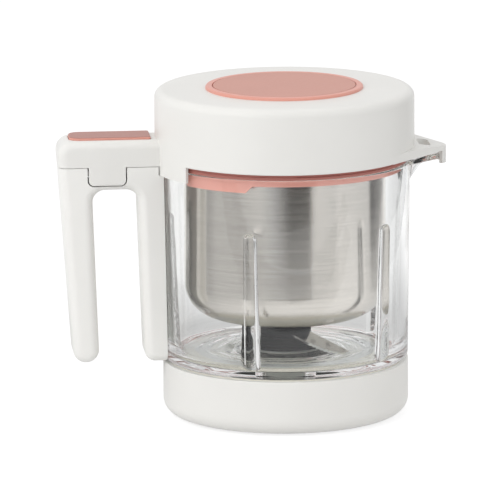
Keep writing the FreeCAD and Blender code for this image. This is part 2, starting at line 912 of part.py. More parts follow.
def catch_plate():
    left = catch_posts()[0] - catch_post_radius
    plate = block(point(left, -grip_width / 2 + grip_wall + moving, catch_top - catch_thickness),
                  point(catch_posts()[1] + catch_post_radius, grip_width / 2 - grip_wall - moving, catch_top))
    for x in catch_posts():
        plate = plate.cut(disc(screw_radius + screw_clearance, catch_top - catch_thickness, catch_top, x))
    back = latch_leg() - latch_thickness
    slot = block(point(back - latch_slot_lead, -latch_width / 2 - moving, catch_top - catch_thickness),
                 point(latch_leg() + latch_play, latch_width / 2 + moving, catch_top))
    return plate.cut(slot)


def handle_screws():
    return group(screw(x, 0, catch_top, catch_screw_length, up=False) for x in catch_posts())


# Lid


def lid_posts():
    return around(lid_post_count, lid_post_circle, 45)


def lid_beak():
    """Spout cover: a plate that thins towards a round tip with a lip, and a slot for the steam."""
    end = lid_radius + beak_reach
    tip = end - beak_tip_radius
    plate = nose_plate(0, lid_radius, tip, beak_tip_radius, lid_bottom, beak_root)
    slope = side(
        [(0, lid_bottom, 0), (end, lid_bottom, 0), (end, lid_bottom + beak_end, 0),
         (lid_radius, lid_bottom + beak_root, 0), (0, lid_bottom + beak_root, 0)],
        0, 2 * lid_radius,
    )
    plate = plate.common(slope)
    low, high = lid_bottom - beak_lip_drop, lid_bottom + overcut
    lip = tube(beak_tip_radius - beak_lip_wall, beak_tip_radius, low, high)
    lip = lip.common(wedge(beak_tip_radius + overcut, low, high, 0, beak_lip_angle))
    lip.translate(point(tip, 0, 0))
    start = lid_radius + pour_slot_start
    end = start + pour_slot_length
    slot = plan(
        [(start, -pour_slot_half_width, pour_slot_round), (end, -pour_slot_half_width, pour_slot_round),
         (end, pour_slot_half_width, pour_slot_round), (start, pour_slot_half_width, pour_slot_round)],
        lid_bottom - overcut, beak_root + 2 * overcut,
    )
    return joined(plate, lip).cut(slot)


def button_plan(grow):
    """Plan of the button, rounder at the outer end than at the lid's end."""
    right = -(lid_radius + button_start) + grow
    left = right - button_length - 2 * grow
    half = button_width / 2 + grow
    return [
        (right, -half, button_corner), (right, half, button_corner),
        (left, half, button_end_radius + grow), (left, -half, button_end_radius + grow),
    ]


def lid_arm(blank):
    """Hollow arm over the handle, with the button's opening and a tongue on each face."""
    arm = blank.common(slab(handle_top + parting / 2, arm_top + overcut))
    arm = arm.cut(grip_hollow().cut(disc(lid_radius + arm_root_wall, 0, arm_top)))
    arm = arm.cut(plan(button_plan(button_line), arm_top - grip_wall - overcut, grip_wall + 2 * overcut))
    for sense in (-1, 1):
        arm = arm.fuse(blank.common(tongue_prism(0, sense)))
    return arm.cut(disc(lid_inner_radius + slip, 0, arm_top + overcut)).removeSplitter()


def lid_shell(blank):
    shell = turned(
        (lid_radius, lid_bottom, lid_lower_round), (lid_radius, lid_top, lid_edge_radius),
        (filler_radius, lid_top), (filler_radius, lid_top - lid_wall),
        (lid_inner_radius, lid_top - lid_wall, lid_edge_radius - lid_wall), (lid_inner_radius, lid_bottom),
    )
    lap = tube(lid_radius - lap_wall, lid_radius, lap_bottom, lid_bottom + lap_root)
    lap = lap.common(wedge(lid_radius + overcut, 0, lid_top, 180, lap_half_angle))
    posts = [disc(lid_post_radius, liner_top, lid_top - lid_wall / 2, x, y) for x, y in lid_posts()]
    beak = lid_beak().cut(disc(lid_inner_radius + slip, 0, lid_top))
    shell = joined(shell, lap, beak, *posts, lid_arm(blank))
    shell = shell.cut(disc(lid_radius - lap_wall, 0, lid_bottom))
    for x, y in lid_posts():
        shell = shell.cut(disc(screw_radius + slip, liner_top, liner_top + lid_screw_length, x, y))
    return shell


def seal_rib_radii():
    outer = lid_inner_radius - moving
    middle = outer - lid_seal_width / 2
    return middle - lid_seal_rib / 2, middle + lid_seal_rib / 2


def lid_liner():
    rib_inner, rib_outer = seal_rib_radii()
    groove = liner_bottom + lid_seal_rib_height + slip
    liner = turned(
        (filler_radius, liner_bottom), (rib_inner - slip, liner_bottom), (rib_inner - slip, groove),
        (rib_outer + slip, groove), (rib_outer + slip, liner_bottom),
        (lid_inner_radius - moving, liner_bottom), (lid_inner_radius - moving, liner_top),
        (filler_radius + filler_wall, liner_top),
        (filler_radius + filler_wall, lid_top - lid_wall), (filler_radius, lid_top - lid_wall),
    )
    seat = liner_bottom + screw_head_height + slip * 2
    for x, y in lid_posts():
        liner = liner.cut(disc(screw_head_radius + head_clearance, liner_bottom, seat, x, y))
        liner = liner.cut(disc(screw_radius + screw_clearance, liner_bottom, liner_top, x, y))
    return liner


def lid_screws():
    seat = liner_bottom + screw_head_height + slip * 2
    length = lid_screw_length + liner_top - seat - slip
    return group(screw(x, y, seat, length) for x, y in lid_posts())


def lid_seal():
    rib_inner, rib_outer = seal_rib_radii()
    outer = lid_inner_radius - moving
    inner = outer - lid_seal_width
    return turned(
        (inner, ring_top), (outer, ring_top, edge_break), (outer, liner_bottom), (rib_outer, liner_bottom),
        (rib_outer, liner_bottom + lid_seal_rib_height), (rib_inner, liner_bottom + lid_seal_rib_height),
        (rib_inner, liner_bottom), (inner, liner_bottom),
    )


# Filler cap


def cap_seal_levels():
    top = lid_top - cap_seal_drop
    return top - cap_seal_height, top


def filler_cap():
    plug = filler_radius - cap_plug_clearance
    low, high = cap_seal_levels()
    recess = cap_radius - cap_inlay_inset
    top = lid_top + cap_proud
    groove = plug - cap_seal_sink
    return turned(
        (0, lid_top), (plug - cap_plug_wall, lid_top), (plug - cap_plug_wall, lid_top - cap_plug_length),
        (plug, lid_top - cap_plug_length, edge_break), (plug, low - slip), (groove, low - slip),
        (groove, high + slip), (plug, high + slip), (plug, lid_top),
        (cap_radius, lid_top), (cap_radius, top, cap_round), (recess, top, line_round),
        (recess, top - cap_inlay_depth), (0, top - cap_inlay_depth),
    )


def cap_inlay():
    top = lid_top + cap_proud
    radius = cap_radius - cap_inlay_inset - cap_inlay_line
    low = top - cap_inlay_depth
    return turned((0, low), (radius, low), (radius, top, line_round), (0, top))


def cap_seal():
    low, high = cap_seal_levels()
    plug = filler_radius - cap_plug_clearance
    groove = plug - cap_seal_sink
    lip = filler_radius - slip * 2
    middle = (low + high) / 2
    return turned(
        (groove + slip, low), (plug, low), (lip, middle - cap_seal_crest / 2),
        (lip, middle + cap_seal_crest / 2), (plug, high), (groove + slip, high),
    )


# Release button and latch


def button_levels():
    """(underside of the lip, top of the lip, top face) at rest."""
    lip_top = arm_top - grip_wall - moving
    return lip_top - button_lip_height, lip_top, arm_top + button_proud


def spring_place():
    """x of the spring's axis, under the button's outer end."""
    return -(lid_radius + button_start + button_length - spring_from_end)


def release_button():
    lip_bottom, lip_top, top = button_levels()
    skirt_bottom = arm_top + button_proud - button_depth
    body = plan(button_plan(0), skirt_bottom, top - skirt_bottom)
    body = body.makeFillet(edge_break, [edge for edge in body.Edges if edge.BoundBox.ZMin > top - slip])
    lip = plan(button_plan(button_lip), lip_bottom, lip_top - lip_bottom)
    cavity_bottom = skirt_bottom - overcut
    cavity = plan(button_plan(-button_wall), cavity_bottom, top - button_wall - cavity_bottom)
    plunger_bottom = cover_top + latch_thickness + button_travel + slip
    plunger = disc(plunger_radius, plunger_bottom, top - button_wall / 2, latch_leg() - plunger_from_leg)
    return joined(body, lip).cut(cavity).fuse(plunger).removeSplitter()


def spring_levels():
    _, _, top = button_levels()
    return cover_top, top - button_wall


def button_spring():
    """Open coil between the arm's cover and the underside of the button."""
    low, high = spring_levels()
    half = spring_wire / 2
    height = high - low - spring_wire - 2 * slip
    path = Part.makeHelix(height / spring_turns, height, spring_radius)
    path.translate(point(0, 0, low + half + slip))
    start = point(spring_radius, 0, low + half + slip)
    section = Part.Wire(Part.makeCircle(half, start, point(0, 1, 0)))
    coil = Part.Wire(path).makePipeShell([section], True, True)
    coil.translate(point(spring_place(), 0, 0))
    return coil


def arm_cover():
    outer_end = -(grip_end(cover_bottom) - grip_wall - moving)
    inner_end = -(lid_radius + arm_root_wall + moving)
    half = grip_width / 2 - grip_wall - moving / 2
    plate = block(point(outer_end, -half, cover_bottom), point(inner_end, half, cover_top))
    post = disc(spring_post_radius, cover_top, cover_top + spring_post_height, spring_place())
    peg_top = cover_top + latch_thickness + latch_peg_proud
    peg = disc(latch_peg_radius, cover_top, peg_top, latch_leg() - latch_peg_from_leg)
    back = latch_leg() - latch_thickness
    slot = block(point(back - latch_slot_lead, -latch_width / 2 - moving, cover_bottom),
                 point(latch_leg() + latch_hook + latch_play, latch_width / 2 + moving, cover_top))
    return joined(plate, post, peg).cut(slot)


def latch_spring():
    """Leaf of spring steel: a foot on the arm's cover and a leg whose hook snaps under the catch plate."""
    front = latch_leg()
    back = front - latch_thickness
    foot_end = front - latch_foot
    hook_top = catch_top - catch_thickness - latch_play
    hook_bottom = hook_top - latch_hook_height
    outline = [
        (foot_end, cover_top, 0), (back, cover_top, 0), (back, hook_bottom, 0), (front, hook_bottom, 0),
        (front + latch_hook, hook_top - latch_hook_nose, 0), (front + latch_hook, hook_top, 0),
        (front, hook_top, 0),
        (front, cover_top + latch_thickness, 0), (foot_end, cover_top + latch_thickness, 0),
    ]
    leaf = side(outline, 0, latch_width)
    hole_top = cover_top + latch_thickness
    return leaf.cut(disc(latch_peg_radius + slip, cover_top, hole_top, front - latch_peg_from_leg))


def build():
    """Every piece by name."""
    blank = grip_blank()
    lower_bush, upper_bush = bush_levels()
    return {
        "glass_jug": glass_jug(),
        "base_cup": base_cup(),
        "foot_ring": foot_ring(),
        "jug_carrier": jug_carrier(),
        "jug_gasket": jug_gasket(),
        "base_screws": base_screws(),
        "bearing_housing": bearing_housing(),
        "housing_gasket": housing_gasket(),
        "bearing_nut": bearing_nut(),
        "lower_bush": bush(lower_bush),
        "upper_bush": bush(upper_bush),
        "shaft_seal": shaft_seal(),
        "cutting_blade": cutting_blade(),
        "blade_hub": blade_hub(),
        "blade_shaft": blade_shaft(),
        "thrust_washer": thrust_washer(),
        "shaft_clip": shaft_clip(),
        "drive_coupling": drive_coupling(),
        "basket": basket(),
        "basket_ring": basket_ring(),
        "handle_shell": handle_shell(blank),
        "catch_plate": catch_plate(),
        "handle_screws": handle_screws(),
        "lid_shell": lid_shell(blank),
        "lid_liner": lid_liner(),
        "lid_screws": lid_screws(),
        "lid_seal": lid_seal(),
        "filler_cap": filler_cap(),
        "cap_inlay": cap_inlay(),
        "cap_seal": cap_seal(),
        "release_button": release_button(),
        "button_spring": button_spring(),
        "arm_cover": arm_cover(),
        "latch_spring": latch_spring(),
    }


def main():
    os.makedirs("parts", exist_ok=True)
    for name, shape in build().items():
        solids = shape.Solids
        if not shape.isValid() or not solids:
            print("invalid:", name)
        shape.exportStep(os.path.join("parts", name + ".step"))
        print(f"{name}: {len(solids)} solid(s), {shape.Volume / 1000:.2f} cm3")


main()
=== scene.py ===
import json
import math

import bpy
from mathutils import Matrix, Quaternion, Vector


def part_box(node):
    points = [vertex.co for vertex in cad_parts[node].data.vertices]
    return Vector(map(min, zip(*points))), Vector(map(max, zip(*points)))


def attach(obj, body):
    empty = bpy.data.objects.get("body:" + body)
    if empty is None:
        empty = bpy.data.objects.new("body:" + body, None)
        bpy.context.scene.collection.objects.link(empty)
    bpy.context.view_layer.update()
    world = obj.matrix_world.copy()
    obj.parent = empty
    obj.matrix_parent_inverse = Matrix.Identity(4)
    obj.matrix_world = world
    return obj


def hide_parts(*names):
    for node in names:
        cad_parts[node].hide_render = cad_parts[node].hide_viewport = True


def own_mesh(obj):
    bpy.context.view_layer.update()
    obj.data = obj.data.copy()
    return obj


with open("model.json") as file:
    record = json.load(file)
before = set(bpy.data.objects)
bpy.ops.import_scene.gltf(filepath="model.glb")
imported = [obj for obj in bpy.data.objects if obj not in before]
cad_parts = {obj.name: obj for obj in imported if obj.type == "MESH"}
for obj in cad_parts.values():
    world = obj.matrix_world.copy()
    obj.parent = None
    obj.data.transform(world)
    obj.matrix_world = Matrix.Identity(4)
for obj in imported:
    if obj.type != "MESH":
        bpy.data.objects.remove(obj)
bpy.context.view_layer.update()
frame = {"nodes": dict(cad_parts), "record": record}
nodes = frame["nodes"]


# Sizes of the glass jug, in millimetres. A distance is from the jug's axis where nothing else is said.

MM = 0.001
RIM = 145.7  # height of the rim
FOOT = 32.05  # height of the underside
FLOOR = 37.9  # height of the floor at the bearing's flange
TROUGH = 35.7  # height of the floor near the wall
FOOT_RADIUS = 69.3
RIM_RADIUS = 70.8
BOWL_FOOT_RADIUS = 63.7
BOWL_RIM_RADIUS = 66.8
BOWL_CORNER = 6.0  # round between the bowl's wall and floor
HEEL = 3.5  # round between the outside and the underside
RIM_ROUND = 1.2  # round of the rim's outer edge
RIM_INSIDE_ROUND = 0.8  # round of the rim's inner edge
HOLE = 11.3  # radius of the hole for the bearing
FLANGE = 22.3  # radius of the flat floor under the bearing's flange
PAINTED_LIGHT_BAND = 0.8  # how far the pale lower stem of the bearing reaches over the floor: painted light, which stands for light seen through the glass's heel

RIB_COUNT = 5
FIRST_RIB = -40.3  # degrees
RIB_FOOT = 4.8  # radius of a rib at the floor
RIB_TOP = 3.8  # radius of a rib at its dome
RIB_SET = 1.0  # depth of a rib's middle in the wall
RIB_DOME = 111.1  # height of the dome's middle
RIB_BLEND = 1.0
RIB_REACH = 0.15  # radians to each side that a rib never passes
FINE_ABOVE_DOME = 1.0  # rows lie closer from this far above a dome
FINE_BELOW_DOME = 2.0  # to this far below its middle

SPOUT_LOW = 131.2  # height of the spout's foot
SPOUT_ROOT = 1.5  # radius of the spout at its foot
SPOUT_ROOT_MIDDLE = 68.3  # distance of its middle there
SPOUT_RADIUS = 18.0  # radius of the spout at the rim
SPOUT_MIDDLE = 62.5  # distance of its middle there
SPOUT_WALL = 3.0
SPOUT_BLEND = 2.0
SPOUT_INSIDE_BLEND = 2.5
NOSE_TIP = 81.9  # distance of the middle of the tip's round
NOSE_TIP_RADIUS = 6.3
NOSE_LOW = 142.3  # height of the nose's underside
NOSE_BLEND = 1.3  # height in which the spout widens to the nose
NOSE_RISE = 1.5  # how much higher the tip is than the rim
NOSE_RISE_FROM = 73.0
NOSE_RISE_TO = 81.0

TROUGH_FROM = 1.0  # distance from the flange to where the floor starts to fall
TROUGH_SLOPE = 9.0  # width of the fall
RIPPLE = 0.35  # depth of the floor's ripples
RIPPLE_STEP = 6.4
RIPPLE_TURNS = 3
CROSS_SHARE = 0.5  # weight of the ripples that cross the first ones
CROSS_STEP = 3.9
CROSS_TURNS = 5
RIPPLE_MARGIN = 4.0  # smooth strip at the floor's edge
RIPPLE_OUTER_FADE = 8.0
RIPPLE_INNER_FADE = 5.0

RAIL_ROOT = 70.95  # distance of the handle rail's inner end
RAIL_NECK = 74.1  # distance at which the rail widens
RAIL_END = 76.1
RAIL_NECK_HALF = 4.0  # half of the neck's width
RAIL_HEAD_HALF = 7.0  # half of the head's width
RAIL_LOW = 53.9
RAIL_HIGH = 119.9

JUG_TURNS = 600  # points in a row


# Sizes of the button and its spring, in millimetres

WIRE_RADIUS = 0.4
SPRING_ROUNDS = 5
SPRING_PACE = 36  # points in a round
WIRE_SIDES = 12
BUTTON_SHADE_DEPTH = 0.3  # depth of the darker tone on the button's top, which is painted shade from the lid


# Scales of the materials' noise, per metre, and depths of their bumps, in metres

DRIFT_SCALE = 22.0
LIGHT_AND_SHADE_DRIFT_SCALE = 60.0
DRIFT_DETAIL = 3.0
NOISE_LOW = 0.3  # where a blend by noise starts
NOISE_HIGH = 0.7  # and where it ends
GLOSS_SCALE = 420.0
GLOSS_RANGE = 0.05  # how far roughness strays to either side
SKIN_SCALE = 2600.0
SKIN_DETAIL = 3.0
SKIN_ROUGH = 0.6
SKIN_DEPTH = 0.0002
PLAIN_GRAIN = 0.03
LIGHT_AND_SHADE_GRAIN = 0.04
TONE_EDGE = 0.00005  # half the width of the step between two tones

STREAK_DETAIL = 2.0
STREAK_ROUGH = 0.6
STREAK_LOW = 0.25
STREAK_HIGH = 0.75
STREAK_GLOSS = 0.03  # how far streaks change the roughness
STREAK_BUMP = 0.02
STREAK_DEPTH = 0.0001
METAL_DRIFT_SCALE = 30.0
METAL_DRIFT_GLOSS = 0.02
QUARTER_TURN = 0.25  # of the anisotropy, so that reflections spread across the streaks

GLASS_INDEX = 1.5
GLASS_WAVE_SCALE = 35.0
GLASS_WAVE_DETAIL = 1.0
GLASS_WAVE_BUMP = 0.04
GLASS_WAVE_DEPTH = 0.004
GLASS_HAZE_SCALE = 60.0
GLASS_HAZE = 0.012  # highest roughness
GLASS_SHADOW = (0.94, 0.95, 0.95, 1)  # what the glass lets through of a lamp's light


# Node materials


class Tree:
    """Short way to add and link shader nodes."""

    def __init__(self, owner):
        owner.use_nodes = True
        self.tree = owner.node_tree
        self.tree.nodes.clear()

    def add(self, kind, **settings):
        node = self.tree.nodes.new("ShaderNode" + kind)
        for key, value in settings.items():
            setattr(node, key, value)
        return node

    def link(self, out, into):
        self.tree.links.new(out, into)

    def put(self, node, **values):
        """Set inputs by name, with _ for a space, or by number, as in i0. Sockets given are linked."""
        for key, value in values.items():
            numbered = key[0] == "i" and key[1:].isdigit()
            socket = node.inputs[int(key[1:]) if numbered else key.replace("_", " ")]
            if isinstance(value, bpy.types.NodeSocket):
                self.link(value, socket)
            else:
                socket.default_value = value
        return node

    def math(self, operation, a, b=0.0):
        return self.put(self.add("Math", operation=operation), i0=a, i1=b).outputs[0]

    def noise(self, vector, scale, detail=2.0, rough=0.5):
        node = self.add("TexNoise")
        return self.put(node, Vector=vector, Scale=scale, Detail=detail, Roughness=rough).outputs["Fac"]

    def spread(self, value, low, high, start=0.0, end=1.0):
        """Map start to end onto low to high, and hold beyond them."""
        node = self.add("MapRange")
        self.put(node, Value=value, From_Min=start, From_Max=end, To_Min=low, To_Max=high)
        return node.outputs["Result"]

    def blend(self, share, first, second):
        """Mix two colours, which are the node's inputs 6 and 7 and its output 2."""
        node = self.add("Mix", data_type="RGBA")
        self.put(node, i0=share, i6=first, i7=second)
        return node.outputs[2]

    def bump(self, height, strength, distance):
        node = self.put(self.add("Bump"), Strength=strength, Distance=distance, Height=height)
        return node.outputs["Normal"]

    def place(self):
        return self.add("TexCoord").outputs["Object"]


def new_material(name):
    mat = bpy.data.materials.new(name)
    return mat, Tree(mat)


def principled(name, **values):
    mat, tree = new_material(name)
    shader = tree.put(tree.add("BsdfPrincipled"), **values)
    tree.link(shader.outputs["BSDF"], tree.add("OutputMaterial").inputs["Surface"])
    return mat, tree, shader


def moulded_skin(tree, shader, place, roughness, grain):
    """The uneven gloss and the fine skin that a mould leaves."""
    gloss = tree.noise(place, GLOSS_SCALE)
    tree.put(shader, Roughness=tree.spread(gloss, roughness - GLOSS_RANGE, roughness + GLOSS_RANGE))
    skin = tree.noise(place, SKIN_SCALE, SKIN_DETAIL, SKIN_ROUGH)
    tree.link(tree.bump(skin, grain, SKIN_DEPTH), shader.inputs["Normal"])


def moulded(name, tone, shade, roughness, grain=PLAIN_GRAIN, **values):
    """Moulded plastic or silicone, whose colour drifts between two tones."""
    mat, tree, shader = principled(name, **values)
    place = tree.place()
    drift = tree.noise(place, DRIFT_SCALE, DRIFT_DETAIL)
    share = tree.spread(drift, 0.0, 1.0, NOISE_LOW, NOISE_HIGH)
    tree.put(shader, Base_Color=tree.blend(share, (*tone, 1), (*shade, 1)))
    moulded_skin(tree, shader, place, roughness, grain)
    return mat


def painted_light_and_shade(name, level, below, above, roughness, **values):
    """Moulding with one pair of drifting tones below a height, in metres, and another above it. The step
    between them is painted light and painted shade.
    """
    mat, tree, shader = principled(name, **values)
    place = tree.place()
    height = tree.put(tree.add("SeparateXYZ"), i0=place).outputs["Z"]
    upper = tree.spread(height, 0.0, 1.0, level - TONE_EDGE, level + TONE_EDGE)
    drift = tree.noise(place, LIGHT_AND_SHADE_DRIFT_SCALE, DRIFT_DETAIL)
    low, high = [tree.blend(drift, (*tone, 1), (*shade, 1)) for tone, shade in (below, above)]
    tree.put(shader, Base_Color=tree.blend(upper, low, high))
    moulded_skin(tree, shader, place, roughness, LIGHT_AND_SHADE_GRAIN)
    return mat


def brushed(name, tone, shade, roughness, anisotropy, along, across):
    """Metal with streaks round the Z axis. Their scales are along them, per radian, and across, per metre."""
    mat, tree, shader = principled(
        name, Metallic=1.0, Anisotropic=anisotropy, Anisotropic_Rotation=QUARTER_TURN)
    split = tree.put(tree.add("SeparateXYZ"), i0=tree.place())
    x = split.outputs["X"]
    y = split.outputs["Y"]
    angle = tree.math("ARCTAN2", y, x)
    radius = tree.math("SQRT", tree.math("ADD", tree.math("MULTIPLY", x, x), tree.math("MULTIPLY", y, y)))
    streak_place = tree.put(
        tree.add("CombineXYZ"),
        X=tree.math("MULTIPLY", angle, along),
        Y=tree.math("MULTIPLY", split.outputs["Z"], across),
        Z=tree.math("MULTIPLY", radius, across))
    streak = tree.noise(streak_place.outputs[0], 1.0, STREAK_DETAIL, STREAK_ROUGH)
    share = tree.spread(streak, 0.0, 1.0, STREAK_LOW, STREAK_HIGH)
    tree.put(shader, Base_Color=tree.blend(share, (*shade, 1), (*tone, 1)))
    streak_gloss = tree.spread(
        streak, roughness - STREAK_GLOSS, roughness + STREAK_GLOSS, NOISE_LOW, NOISE_HIGH)
    drift = tree.noise(tree.place(), METAL_DRIFT_SCALE)
    drift_gloss = tree.spread(drift, -METAL_DRIFT_GLOSS, METAL_DRIFT_GLOSS)
    tree.put(shader, Roughness=tree.math("ADD", streak_gloss, drift_gloss))
    tangent = tree.add("Tangent", direction_type="RADIAL", axis="Z")
    tree.link(tangent.outputs[0], shader.inputs["Tangent"])
    tree.link(tree.bump(streak, STREAK_BUMP, STREAK_DEPTH), shader.inputs["Normal"])
    return mat


def glass(name, tint):
    """Clear glass with faint waves. Lamps reach what stands inside it."""
    mat, tree = new_material(name)
    place = tree.place()
    haze = tree.spread(tree.noise(place, GLASS_HAZE_SCALE), 0.0, GLASS_HAZE)
    shader = tree.put(
        tree.add("BsdfPrincipled"),
        Base_Color=(*tint, 1),
        Transmission_Weight=1.0,
        IOR=GLASS_INDEX,
        Roughness=haze)
    wave = tree.noise(place, GLASS_WAVE_SCALE, GLASS_WAVE_DETAIL)
    tree.link(tree.bump(wave, GLASS_WAVE_BUMP, GLASS_WAVE_DEPTH), shader.inputs["Normal"])
    clear = tree.put(tree.add("BsdfTransparent"), Color=GLASS_SHADOW)
    path = tree.add("LightPath")
    dim = tree.math("MAXIMUM", path.outputs["Is Shadow Ray"], path.outputs["Is Diffuse Ray"])
    mix = tree.put(tree.add("MixShader"), i0=dim, i1=shader.outputs[0], i2=clear.outputs[0])
    tree.link(mix.outputs[0], tree.add("OutputMaterial").inputs["Surface"])
    return mat


def dress(node, material):
    nodes[node].data.materials.clear()
    nodes[node].data.materials.append(material)


# One material for each slot of the record

MATERIALS = {
    "white_plastic": moulded(
        "white_plastic", tone=(0.83, 0.82, 0.79), shade=(0.805, 0.795, 0.765), roughness=0.38,
        Specular_IOR_Level=0.4),
    "pink_plastic": moulded(
        "pink_plastic", tone=(0.77, 0.355, 0.285), shade=(0.74, 0.335, 0.27), roughness=0.36),
    "pink_inlay": moulded(
        "pink_inlay", tone=(0.62, 0.285, 0.222), shade=(0.59, 0.27, 0.21), roughness=0.42),
    "pink_silicone": moulded(
        "pink_silicone", tone=(0.90, 0.42, 0.345), shade=(0.87, 0.40, 0.325), roughness=0.5, grain=0.05),
    "clear_silicone": moulded(
        "clear_silicone", tone=(0.72, 0.72, 0.70), shade=(0.68, 0.68, 0.66), roughness=0.5, grain=0.05),
    "grey_rubber": moulded(
        "grey_rubber", tone=(0.26, 0.26, 0.26), shade=(0.22, 0.22, 0.22), roughness=0.7, grain=0.1),
    "dark_plastic": moulded(
        "dark_plastic", tone=(0.011, 0.011, 0.016), shade=(0.008, 0.008, 0.012), roughness=0.5, grain=0.04,
        Specular_IOR_Level=0.03),
    "clear_glass": glass("clear_glass", tint=(0.99, 0.994, 0.992)),
    "brushed_steel": brushed(
        "brushed_steel", tone=(0.81, 0.775, 0.73), shade=(0.735, 0.70, 0.655), roughness=0.20,
        anisotropy=0.8, along=1.6, across=1500.0),
    "blade_steel": brushed(
        "blade_steel", tone=(0.97, 0.97, 0.96), shade=(0.88, 0.88, 0.88), roughness=0.16,
        anisotropy=0.3, along=10.0, across=900.0),
    "plain_steel": brushed(
        "plain_steel", tone=(0.70, 0.70, 0.69), shade=(0.55, 0.55, 0.55), roughness=0.3,
        anisotropy=0.3, along=10.0, across=1200.0),
    "bush_brass": brushed(
        "bush_brass", tone=(0.72, 0.52, 0.24), shade=(0.58, 0.40, 0.18), roughness=0.3,
        anisotropy=0.3, along=10.0, across=1200.0),
}

for sub in frame["record"]["subparts"]:
    dress(sub["node"], MATERIALS[sub["material_slot"]])


# Nodes with a tone of their own within their slot, and nodes whose tones are painted light and painted shade

# Painted light: the handle is a lighter copy of the white plastic, which stands for light falling on it.
dress("handle_shell", moulded(
    "white_handle_painted_light", tone=(0.88, 0.87, 0.84), shade=(0.855, 0.845, 0.815), roughness=0.38,
    Specular_IOR_Level=0.4))
# Painted shade: the seal is a dark pink, which stands for the lid's shade over it.
dress("lid_seal", moulded(
    "pink_seal_painted_shade", tone=(0.42, 0.135, 0.11), shade=(0.39, 0.125, 0.10), roughness=0.5, grain=0.05))
dress("jug_carrier", moulded(
    "carrier", tone=(0.80, 0.765, 0.67), shade=(0.77, 0.735, 0.64), roughness=0.45))
# Painted shade: the button's top face is a darker pink than its sides, which stands for the lid's shade over
# it.
dress("release_button", painted_light_and_shade(
    "button", level=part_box("release_button")[1].z - BUTTON_SHADE_DEPTH * MM, roughness=0.4,
    below=[(0.80, 0.37, 0.30), (0.77, 0.35, 0.28)],
    above=[(0.45, 0.20, 0.165), (0.42, 0.187, 0.153)]))
# Painted light: the bearing's stem is pale up to just over the floor, which stands for light seen through the
# glass's heel.
dress("bearing_housing", painted_light_and_shade(
    "housing", level=(FLOOR + PAINTED_LIGHT_BAND) * MM, roughness=0.47,
    below=[(0.86, 0.85, 0.80), (0.80, 0.79, 0.74)],
    above=[(0.008, 0.008, 0.010), (0.006, 0.006, 0.008)],
    Specular_IOR_Level=0.03))
# Painted shade: the ring is a darker pink above the rim, which stands for the lid's shade over it.
dress("basket_ring", painted_light_and_shade(
    "ring", level=RIM * MM, roughness=0.5,
    below=[(0.92, 0.43, 0.355), (0.89, 0.41, 0.335)],
    above=[(0.46, 0.17, 0.14), (0.43, 0.155, 0.13)]))


# Meshes


def add_object(name, points, faces, smooth, material):
    """Mesh object whose first faces are smooth, as many as smooth says."""
    mesh = bpy.data.meshes.new(name)
    mesh.from_pydata(points, [], faces)
    mesh.validate()
    for face in mesh.polygons:
        face.use_smooth = face.index < smooth
    mesh.materials.append(material)
    piece = bpy.data.objects.new(name, mesh)
    bpy.context.scene.collection.objects.link(piece)
    return piece


def ring_faces(near, far, count):
    """Quads between two rings of points, which start at the numbers near and far."""
    faces = []
    for step in range(count):
        ahead = (step + 1) % count
        faces.append((near + step, near + ahead, far + ahead, far + step))
    return faces


def end_faces(first, last, count):
    """Faces that close a tube at its first and its last ring."""
    return [tuple(range(first, first + count)), tuple(range(last + count - 1, last - 1, -1))]


def steps(start, end, count):
    """count values from just after start up to end."""
    return [start + (end - start) * (number + 1) / count for number in range(count)]


def quarter(count):
    """Angles from just after 0 to 90 degrees."""
    return steps(0.0, math.pi / 2, count)


def smooth_step(value, start, end):
    """0 before start, 1 after end, and a smooth rise between."""
    share = min(max((value - start) / (end - start), 0.0), 1.0)
    return share * share * (3 - 2 * share)


def soft_max(a, b, blend):
    """The larger of two values, rounded where they differ by less than blend."""
    near = max(blend - abs(a - b), 0.0) / blend
    return max(a, b) + near * near * blend / 4


# Glass jug: the CAD solid's form with a fine skin, blended ribs and a soft spout


def outer_radius(z):
    return FOOT_RADIUS + (RIM_RADIUS - FOOT_RADIUS) * (z - FOOT) / (RIM - FOOT)


def bowl_radius(z):
    return BOWL_FOOT_RADIUS + (BOWL_RIM_RADIUS - BOWL_FOOT_RADIUS) * (z - FLOOR) / (RIM - FLOOR)


def floor_edge():
    """Radius at which the floor meets the round of its corner."""
    return bowl_radius(TROUGH + BOWL_CORNER) - BOWL_CORNER


def circle_reach(turn, middle, radius):
    """Distance from the axis to the far side of a circle on +X, or 0 where the ray misses it."""
    under = radius ** 2 - (middle * math.sin(turn)) ** 2
    if under <= 0 or math.cos(turn) <= 0:
        return 0.0
    return middle * math.cos(turn) + math.sqrt(under)


def spout_reach(turn, z, inset):
    """Distance from the axis to the spout's skin, or to a skin further in."""
    share = (z - SPOUT_LOW) / (RIM - SPOUT_LOW)
    radius = SPOUT_ROOT + (SPOUT_RADIUS - SPOUT_ROOT) * share - inset
    if radius <= 0:
        return 0.0
    middle = SPOUT_ROOT_MIDDLE + (SPOUT_MIDDLE - SPOUT_ROOT_MIDDLE) * share
    return circle_reach(turn, middle, radius)


def nose_reach(turn):
    """Distance from the axis to the pouring nose's edge."""
    touch = math.acos((SPOUT_RADIUS - NOSE_TIP_RADIUS) / (NOSE_TIP - SPOUT_MIDDLE))
    x = math.cos(touch)
    y = math.sin(touch)
    turn = abs(turn)
    if turn <= math.atan2(NOSE_TIP_RADIUS * y, NOSE_TIP + NOSE_TIP_RADIUS * x):
        return circle_reach(turn, NOSE_TIP, NOSE_TIP_RADIUS)
    if turn <= math.atan2(SPOUT_RADIUS * y, SPOUT_MIDDLE + SPOUT_RADIUS * x):
        return (x * SPOUT_MIDDLE + SPOUT_RADIUS) / (x * math.cos(turn) + y * math.sin(turn))
    return circle_reach(turn, SPOUT_MIDDLE, SPOUT_RADIUS)


